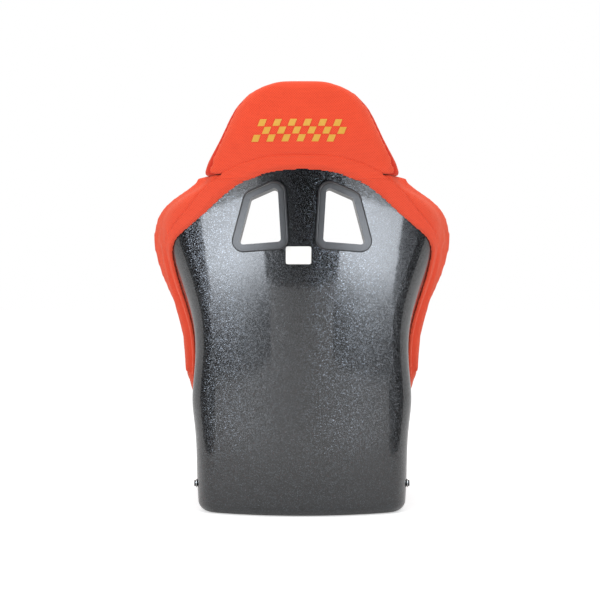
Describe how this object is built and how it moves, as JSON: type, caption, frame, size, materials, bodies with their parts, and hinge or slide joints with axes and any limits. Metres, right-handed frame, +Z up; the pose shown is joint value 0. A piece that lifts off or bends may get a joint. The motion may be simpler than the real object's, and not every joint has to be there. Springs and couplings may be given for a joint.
{
  "type": "fixed-back racing seat",
  "caption": "Bucket racing seat with a gloss moulded shell, rolled mesh-fabric wings and headrest, harness openings and a lift-off seat cushion.",
  "frame": {"origin": "on the floor plane in the middle of the seat's width, on the flat base", "axes": "+Z up, +Y towards the sitter's knees, +X towards the sitter's right-hand side"},
  "size_m": [0.641, 0.6882, 0.874],
  "materials": {
    "mesh_fabric": "woven air mesh",
    "pad_fabric": "woven velour",
    "gelcoat": "gloss gelcoat with metal flake",
    "trim_plastic": "satin moulded",
    "black_steel": "black oxide",
    "zinc_steel": "zinc plated",
    "hook_tape": "woven hook and loop tape"
  },
  "bodies": {
    "seat": {"shell": "gelcoat", "shoulder_bolster_right": "mesh_fabric", "shoulder_bolster_left": "mesh_fabric", "side_bolster_right": "mesh_fabric", "side_bolster_left": "mesh_fabric", "thigh_bolster_right": "mesh_fabric", "thigh_bolster_left": "mesh_fabric", "front_lip_roll": "mesh_fabric", "headrest_sleeve": "mesh_fabric", "headrest_pad": "pad_fabric", "hem_band_top": "mesh_fabric", "hem_band_right": "mesh_fabric", "hem_band_left": "mesh_fabric", "back_cushion": "pad_fabric", "harness_trim_rear_right": "trim_plastic", "harness_trim_rear_left": "trim_plastic", "harness_trim_front_right": "trim_plastic", "harness_trim_front_left": "trim_plastic", "trim_screws": "black_steel", "mount_collars": "black_steel", "mount_washers": "zinc_steel", "side_mount_plate_right": "black_steel", "side_mount_plate_left": "black_steel", "crotch_strap_grommet": "trim_plastic", "pan_hook_strips": "hook_tape"},
    "cushion": {"seat_cushion": "pad_fabric", "cushion_slot_trim": "trim_plastic", "cushion_loop_strips": "hook_tape"}
  },
  "joints": [
    {"name": "cushion_lift", "type": "slide", "parent": "seat", "child": "cushion", "axis": [0, 0, 1], "range_m": [0, 0.12]}
  ]
}
